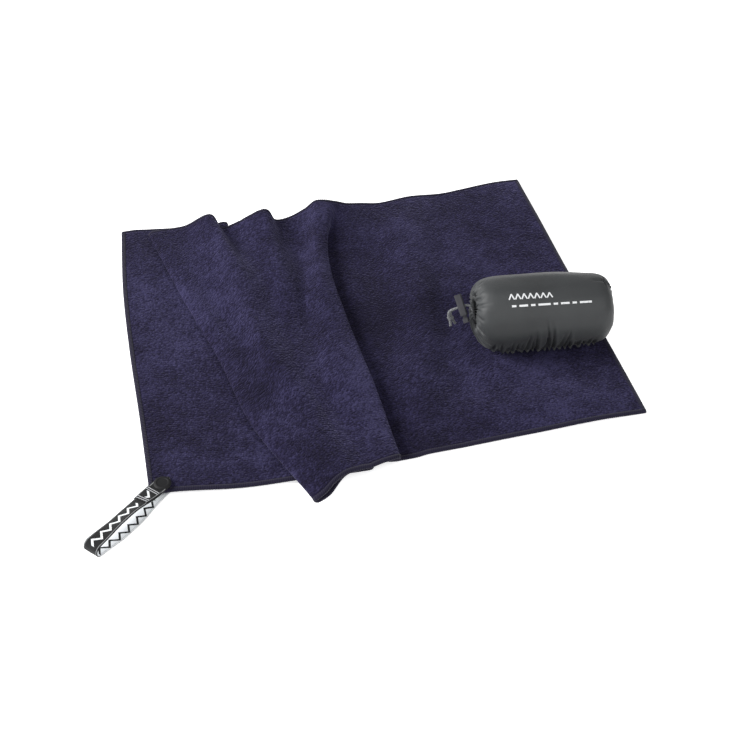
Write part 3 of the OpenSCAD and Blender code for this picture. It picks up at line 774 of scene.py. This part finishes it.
def sack_surface(t, angle, out=0.0):
    """Points on the sack: t runs from the mouth, 0, to the end, 1; angle runs from the back over the top."""
    t, angle = np.broadcast_arrays(np.asarray(t, float), np.asarray(angle, float))
    from_mouth = t * OUTLINE_RUN[-1]
    from_end = OUTLINE_RUN[-1] - from_mouth
    x, r = (np.interp(from_mouth, OUTLINE_RUN, OUTLINE[:, k]) for k in (0, 1))
    along_x, along_r = (np.interp(from_mouth, OUTLINE_RUN, OUTLINE_SLOPE[:, k]) for k in (0, 1))
    push = np.zeros_like(x)
    for at, reach, depth in GATHERS:
        side = turn_gap(angle, at) * np.maximum(r, 6)
        groove = np.exp(-(side / (0.5 + 0.045 * r)) ** 2)
        ridge = np.exp(-(side / 2.6) ** 2)
        push -= depth * groove * (1 - smooth_step(from_mouth, reach * 0.5, reach))
        push += 0.35 * depth * ridge * (1 - smooth_step(from_mouth, reach * 0.4, reach * 0.9))
    arc = -turn_gap(angle, SEAM_ANGLE) * r
    for at, reach, depth, lean in PUCKERS:
        up_side = (1 - smooth_step(arc, reach * 0.35, reach)) * (arc >= 0)
        down_side = (1 - smooth_step(-arc, 2, 9)) * (arc < 0)
        beside = x - at - lean * arc
        push -= depth * np.exp(-(beside / 1.05) ** 2) * (up_side + down_side)
        push += 0.35 * depth * np.exp(-((beside - 2.0) / 1.2) ** 2) * (up_side + down_side)
    across = np.cos(angle) * r
    for at, reach, depth in END_PUCKERS:
        push -= depth * np.exp(-((from_end - at) / 0.7) ** 2) * (1 - smooth_step(np.abs(across), 1, reach))
    push -= 1.2 * np.exp(-(across / 1.3) ** 2) * (1 - smooth_step(from_end, 34, 40))
    low_front = np.maximum(0, np.cos(angle - LOW_FRONT)) ** 2
    push -= 3.5 * low_front * smooth_step(from_mouth, 5, 13) * (1 - smooth_step(from_mouth, 14, 34))
    place = np.stack([x * 0.45, r * np.cos(angle), r * np.sin(angle)], axis=-1)
    away = smooth_step(from_mouth, 2, 14)
    push += away * (0.55 * lumps(place, 22.0, 5) + 0.28 * lumps(place, 8.0, 6) - 0.35)
    shift = np.where(from_mouth < 60, 1 - smooth_step(r, 10, 24), 0)
    x = x - along_r * (push + out)
    r = r + along_x * (push + out)
    points = on_sack(np.stack([x, r * np.cos(angle) + MOUTH_PLACE[1] * shift,
                               r * np.sin(angle) + MOUTH_PLACE[2] * shift], axis=-1))
    points[..., 2] = np.maximum(points[..., 2], SACK_LOWEST)
    return points


def add_sack_shell():
    rows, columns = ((215, 230))
    t = np.linspace(0, 0.998, rows)
    angle = np.linspace(0, 2 * math.pi, columns + 1)[:-1]
    grid_t, grid_angle = np.meshgrid(t, angle, indexing="ij")
    outer = sack_surface(grid_t, grid_angle)
    inner = sack_surface(grid_t, grid_angle, -SACK_WALL)
    points = np.concatenate([outer.reshape(-1, 3), inner.reshape(-1, 3)])
    layer = rows * columns
    faces = grid_faces(rows, columns, wrap=True) + grid_faces(rows, columns, layer, flip=True, wrap=True)
    for c in range(columns):
        d = (c + 1) % columns
        faces.append((d, c, c + layer, d + layer))
    last = (rows - 1) * columns
    faces.append(tuple(range(last, last + columns)))
    faces.append(tuple(range(layer + last, layer + last + columns))[::-1])
    shell = new_object("sack_fabric", points, faces)
    uv = np.stack([grid_t.ravel() * SACK_LENGTH, grid_angle.ravel() * SACK_RADIUS], axis=1)
    set_uv(shell, np.concatenate([uv, uv]))
    shell.data.materials.append(NYLON)
    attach(shell, "sack")
    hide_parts("sack_shell")
    return shell


def ruffled_strip(name, inner_edge, outer_edge, across, thickness):
    """Thin seam allowance between two edges, waved sideways."""
    count = len(inner_edge)
    points, uv = [], []
    for i in range(count):
        wave = 0.3 * math.sin(1.35 * i) + 0.25 * math.sin(0.53 * i + 1)
        for reach, side in ((0, -1), (0.5, -1), (1, -1), (1, 1), (0.5, 1), (0, 1)):
            p = inner_edge[i] + (outer_edge[i] - inner_edge[i]) * reach
            points.append(p + across[i] * (side * thickness / 2 + wave * reach))
            uv.append((i * 0.9, reach * 3 + side))
    strip = new_object(name, points, tube_faces(count, 6))
    set_uv(strip, uv)
    strip.data.materials.append(NYLON)
    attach(strip, "sack")
    return strip


def add_seams():
    t = np.linspace(share_at(20), share_at(92), 110)
    inner = sack_surface(t, SEAM_ANGLE, -0.6)
    outer = sack_surface(t, SEAM_ANGLE, 1.4)
    outer[:, 2] = np.maximum(outer[:, 2], SACK_LOWEST + 0.3)
    beside = unit_rows(sack_surface(t, SEAM_ANGLE + 0.05) - sack_surface(t, SEAM_ANGLE - 0.05))
    side_seam = ruffled_strip("sack_side_fin", inner, outer, beside, 0.7)
    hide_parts("sack_side_seam")
    closed_end = np.linspace(share_at(99), 0.995, 40)
    over = np.concatenate([closed_end, closed_end[::-1]])
    half_turn = np.concatenate([np.full(40, math.pi / 2), np.full(40, 1.5 * math.pi)])
    inner = sack_surface(over, half_turn, -0.5)
    outer = sack_surface(over, half_turn, 1.9)
    beside = np.tile(SACK_AXES[:, 1], (80, 1))
    end_seam = ruffled_strip("sack_end_fin", inner, outer, beside, 0.7)
    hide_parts("sack_end_seam")
    return [side_seam, end_seam]


def add_channel():
    """Gathered channel around the mouth that the drawcord runs in."""
    around, sides = 360, 20
    points, uv = [], []
    for i in range(around):
        angle = 2 * math.pi * i / around
        pleat = abs(math.sin(13 * angle + 0.8 * math.sin(3 * angle)))
        tube = 1.75 + 0.75 * pleat
        for k in range(sides):
            turn = 2 * math.pi * k / sides
            frill = 1 + 0.22 * max(0.0, -math.cos(turn)) * math.sin(26 * angle)
            r = MOUTH_RADIUS + tube * frill * math.sin(turn)
            points.append((tube * frill * math.cos(turn), r * math.cos(angle), r * math.sin(angle)))
            uv.append((angle * MOUTH_RADIUS, turn * 2.2))
    last = (around - 1) * sides
    closing = [(last + k, last + (k + 1) % sides, (k + 1) % sides, k) for k in range(sides)]
    ring = new_object("sack_mouth_channel", at_mouth(points), grid_faces(around, sides, wrap=True) + closing)
    set_uv(ring, uv)
    ring.data.materials.append(NYLON)
    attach(ring, "sack")
    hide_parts("sack_channel")
    return ring


PRINT_PROUD = 0.07


def print_stroke(points, faces, start, end, width):
    """One straight printed stroke on the sack; places are (x, arc from the line's angle) in millimetres."""
    start, end = np.array(start, float), np.array(end, float)
    along = (end - start) / np.linalg.norm(end - start)
    beside = np.array([-along[1], along[0]]) * width / 2
    steps = max(3, int(np.linalg.norm(end - start) / 0.6))
    first = len(points)
    for i in range(steps + 1):
        p = start + (end - start) * i / steps
        for k in (-1, -0.33, 0.33, 1):
            points.append(p + beside * k)
    faces.extend(grid_faces(steps + 1, 4, first))


def add_print():
    """Generic printed motif: a row of open chevrons over a row of dashes."""
    flat, faces = [], []
    for k in range(7):
        x = 21.5 + 4.9 * k
        print_stroke(flat, faces, (x, -2.3), (x + 2.1, 2.0), 1.05)
        print_stroke(flat, faces, (x + 2.0, 2.0), (x + 4.1, -2.3), 1.05)
    x = 23.0
    for dash in (3.4, 6.6, 3.4, 9.4, 3.4, 6.6, 3.4, 9.4):
        print_stroke(flat, faces, (x, -7.6), (x + dash, -7.6), 1.6)
        x += dash + 2.3
    flat = np.array(flat)
    angle = PRINT_ANGLE - flat[:, 1] / SACK_RADIUS
    patch = new_object("sack_print", sack_surface(share_at(flat[:, 0]), angle, PRINT_PROUD), faces)
    patch.data.materials.append(INK)
    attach(patch, "sack")
    return patch


ROLL_FROM, ROLL_TO = 22.0, 90.0
ROLL_PITCH, ROLL_THICKNESS, ROLL_TURNS = 4.4, 3.5, 5.2
ROLL_SIDES = 40


def add_packed_towel():
    """Second towel, rolled up inside the sack."""
    turns = int(ROLL_TURNS * ROLL_SIDES)
    rows = 14
    points, uv = [], []
    for k in range(turns + 1):
        angle = 2 * math.pi * k / ROLL_SIDES
        r = 1.2 + ROLL_PITCH * k / ROLL_SIDES
        thick = ROLL_THICKNESS * min(1.0, (turns - k) / 13 + 0.15)
        for row in range(rows + 1):
            share = row / rows
            x = ROLL_FROM + (ROLL_TO - ROLL_FROM) * share + 0.8 * math.sin(angle * 1.7)
            for extra in (0.0, thick):
                bulge = (r + extra) - 0.5 * (abs(share - 0.5) * 2) ** 8 * (1 if extra else -1)
                points.append((x, bulge * math.cos(angle), bulge * math.sin(angle)))
                uv.append((r * angle / 2, share * (ROLL_TO - ROLL_FROM)))
    wide = 2 * (rows + 1)
    faces = []
    ring = [2 * row for row in range(rows + 1)] + [2 * row + 1 for row in range(rows, -1, -1)]
    for k in range(turns):
        here = k * wide
        for a, b in zip(ring, ring[1:] + ring[:1]):
            faces.append((here + a, here + b, here + wide + b, here + wide + a))
    faces.append(tuple(ring[::-1]))
    faces.append(tuple(turns * wide + i for i in ring))
    roll = new_object("packed_towel_roll", on_sack(points), faces)
    set_uv(roll, uv)
    roll.data.materials.append(TERRY)
    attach(roll, "sack")
    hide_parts("packed_towel")


sack_shell = add_sack_shell()
sack_extras = add_seams() + [add_channel(), add_print()]
add_packed_towel()

# ---- Hang loop: one length of webbing from the snap, round the far fold and back along the floor
LOOP_LENGTH, LOOP_HEIGHT, LOOP_ANGLE = 75.0, 10.0, math.radians(222)
STRAP_WIDTH, STRAP_THICKNESS, STRAP_END = 12.5, 1.0, 7.0
CAP_RADIUS, ARCH_X = 6.2, 40.0
STRAP_BOTTOM = 6.0
TURN_RADIUS = LOOP_HEIGHT / 2
TURN_X = LOOP_LENGTH - TURN_RADIUS
TAB_FROM, TAB_TO = 8.0, 23.5
UPPER_TWIST = 20.0
LOWER_BOW = 2.5
outward = np.array([math.cos(LOOP_ANGLE), math.sin(LOOP_ANGLE), 0.0])
sideways = np.array([-outward[1], outward[0], 0.0])
snap_floor = np.array([snap_centre[0], snap_centre[1], 0.0])


def run_height(x):
    """Height of the underside of the loop's upper run."""
    rise = LOOP_HEIGHT - STRAP_THICKNESS - STRAP_BOTTOM
    return STRAP_BOTTOM + rise * smooth_step(x, CAP_RADIUS, ARCH_X)


def loop_centreline():
    """(x, z, half thickness) from the upper end over the arch, round the fold and back."""
    half = STRAP_THICKNESS / 2
    upper = [(x, float(run_height(x)) + half, half) for x in np.arange(-STRAP_END, TURN_X, 0.8)]
    bend = TURN_RADIUS - half
    fold = [(TURN_X + bend * math.cos(a), TURN_RADIUS + bend * math.sin(a), half)
            for a in np.linspace(math.pi / 2, -math.pi / 2, 22)]
    lower = []
    for x in np.arange(TURN_X - 0.8, -STRAP_END, -0.8):
        pressed = 0.17 * (1 - float(smooth_step(abs(x), 5, 8)))
        lower.append((x, half + pressed, half - pressed))
    return np.array(upper + fold + lower)


def webbing_mesh(name, line, across_shift, twist, materials):
    """Flat webbing along a line of (x, z, half thickness), with its outer and inner faces finished apart."""
    length = distance_along(line[:, :2])
    direction = unit_rows(np.gradient(line[:, :2], axis=0))
    normal = np.stack([-direction[:, 1], direction[:, 0]], axis=1)
    half_width = STRAP_WIDTH / 2
    across = [-half_width, -half_width + 0.25, -half_width + 0.7] + list(np.linspace(-4.6, 4.6, 9)) + [
        half_width - 0.7, half_width - 0.25, half_width]
    points, uv = [], []
    for i, (x, z, half) in enumerate(line):
        narrow = math.sqrt(max(0.03, 1 - (min(x, 0) / 6.35) ** 2))
        lean = (math.cos(twist[i]), math.sin(twist[i]))
        for face in (1, -1):
            for y in across if face == 1 else across[::-1]:
                edge = 0.35 if abs(abs(y) - half_width) < 0.01 else 1.0
                rib = 0.035 * math.sin(2 * math.pi * length[i] / 1.6)
                side = y * narrow
                lift = face * (half * edge + rib) * lean[0] + side * lean[1]
                beside = side * lean[0] - face * half * lean[1] + across_shift[i]
                height = max(z + normal[i, 1] * lift, 0.02)
                ahead = x + normal[i, 0] * lift
                points.append(snap_floor + outward * ahead + sideways * beside + (0, 0, height))
                uv.append((length[i], y))
    wide = 2 * len(across)
    slots = ([0] * len(across) + [1] * len(across)) * (len(line) - 1) + [1, 1]
    band = new_object(name, points, tube_faces(len(line), wide))
    set_uv(band, uv)
    for material in materials:
        band.data.materials.append(material)
    band.data.polygons.foreach_set("material_index", slots)
    return band


def add_loop():
    line = loop_centreline()
    on_floor = line[:, 1] < 1.2
    bow = smooth_step(line[:, 0], 8, 34) * (1 - smooth_step(line[:, 0], 46, 72))
    twist = np.where(on_floor, 0, math.radians(UPPER_TWIST) * bow)
    strap = webbing_mesh("loop_webbing", line, np.where(on_floor, LOWER_BOW * bow, 0), twist,
                         [WEBBING_OUT, WEBBING_IN])
    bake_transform(strap)
    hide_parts("strap_lower", "strap_upper")
    half = STRAP_THICKNESS / 2
    tab_line = np.array([(x, float(run_height(x)) + STRAP_THICKNESS + half + 0.03, half)
                         for x in np.arange(TAB_FROM, TAB_TO, 0.8)])
    tab_twist = math.radians(UPPER_TWIST) * smooth_step(tab_line[:, 0], 8, 34)
    tab = webbing_mesh("loop_tab", tab_line, np.zeros(len(tab_line)), tab_twist, [WEBBING_TAB, WEBBING_TAB])
    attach(tab, "loop_upper")
    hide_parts("strap_tab")
    stitches = add_stitches()


def add_stitches():
    """Rows of bar-tack thread across the folded end."""
    points, faces = [], []
    for x in (9.6, 11.2, 19.8, 21.6):
        top = float(run_height(x)) + 2 * STRAP_THICKNESS + 0.05
        lean = math.radians(UPPER_TWIST) * float(smooth_step(x, 8, 34))
        for row in range(9):
            y = -4.8 + 1.2 * row
            first = len(points)
            for i in range(5):
                rise = 0.22 * math.sin(math.pi * i / 4)
                for k in range(6):
                    turn = 2 * math.pi * k / 6
                    points.append(snap_floor + outward * (x + 0.24 * math.cos(turn))
                                  + sideways * (y - 0.55 + 1.1 * i / 4)
                                  + (0, 0, top + y * math.tan(lean) + rise + 0.2 * math.sin(turn)))
            faces += tube_faces(5, 6, first)
    stitches = new_object("loop_bar_tacks", points, faces)
    stitches.data.materials.append(THREAD)
    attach(stitches, "loop_upper")
    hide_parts("strap_stitching")
    return stitches


add_loop()

# ---- CAD nodes that stay as they are get their finish


def finish_node(node, material, bevel=0.0):
    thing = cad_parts[node]
    thing.data.materials.clear()
    thing.data.materials.append(material)
    if bevel:
        modifier = thing.modifiers.new("edge", "BEVEL")
        modifier.width = bevel * MM
        modifier.segments = 3
        modifier.limit_method = "ANGLE"
        modifier.angle_limit = math.radians(35)


finish_node("snap_post", METAL)
finish_node("snap_stud", METAL)
finish_node("snap_spring", METAL)
finish_node("snap_socket", CAP_PLASTIC)
finish_node("snap_cap", CAP_PLASTIC, 0.12)
finish_node("cord_lock_body", LOCK_PLASTIC, 0.25)
finish_node("cord_lock_button", LOCK_PLASTIC, 0.25)
finish_node("cord_lock_spring", METAL)
finish_node("drawcord_ring", CORD)

# ---- Floor and light


FLOOR_HALF, FLOOR_HEIGHT = 20000.0, -0.3


def add_floor():
    sides = ((-1, -1), (1, -1), (1, 1), (-1, 1))
    corners = [(x * FLOOR_HALF, y * FLOOR_HALF, FLOOR_HEIGHT) for x, y in sides]
    floor = new_object("floor", corners, [(0, 1, 2, 3)], smooth=False)
    floor.data.materials.append(floor_material())


def add_light(name, place, energy, size):
    """Soft square light in metres and watts, turned to the middle of the object."""
    data = bpy.data.lights.new(name, "AREA")
    data.energy, data.size = energy, size
    lamp = bpy.data.objects.new(name, data)
    lamp.location = place
    lamp.rotation_euler = (-Vector(place)).to_track_quat("-Z", "Y").to_euler()
    bpy.context.scene.collection.objects.link(lamp)


def add_world(strength):
    world = bpy.data.worlds.new("studio")
    world.use_nodes = True
    world.node_tree.nodes["Background"].inputs[0].default_value = (1, 1, 1, 1)
    world.node_tree.nodes["Background"].inputs[1].default_value = strength
    bpy.context.scene.world = world


add_floor()
add_light("key", (-1.7, 0.35, 1.1), 84.0, 1.1)
add_light("fill", (0.5, -1.3, 1.3), 22.0, 1.6)
add_world(0.36)
bpy.context.scene.view_settings.view_transform = "Standard"
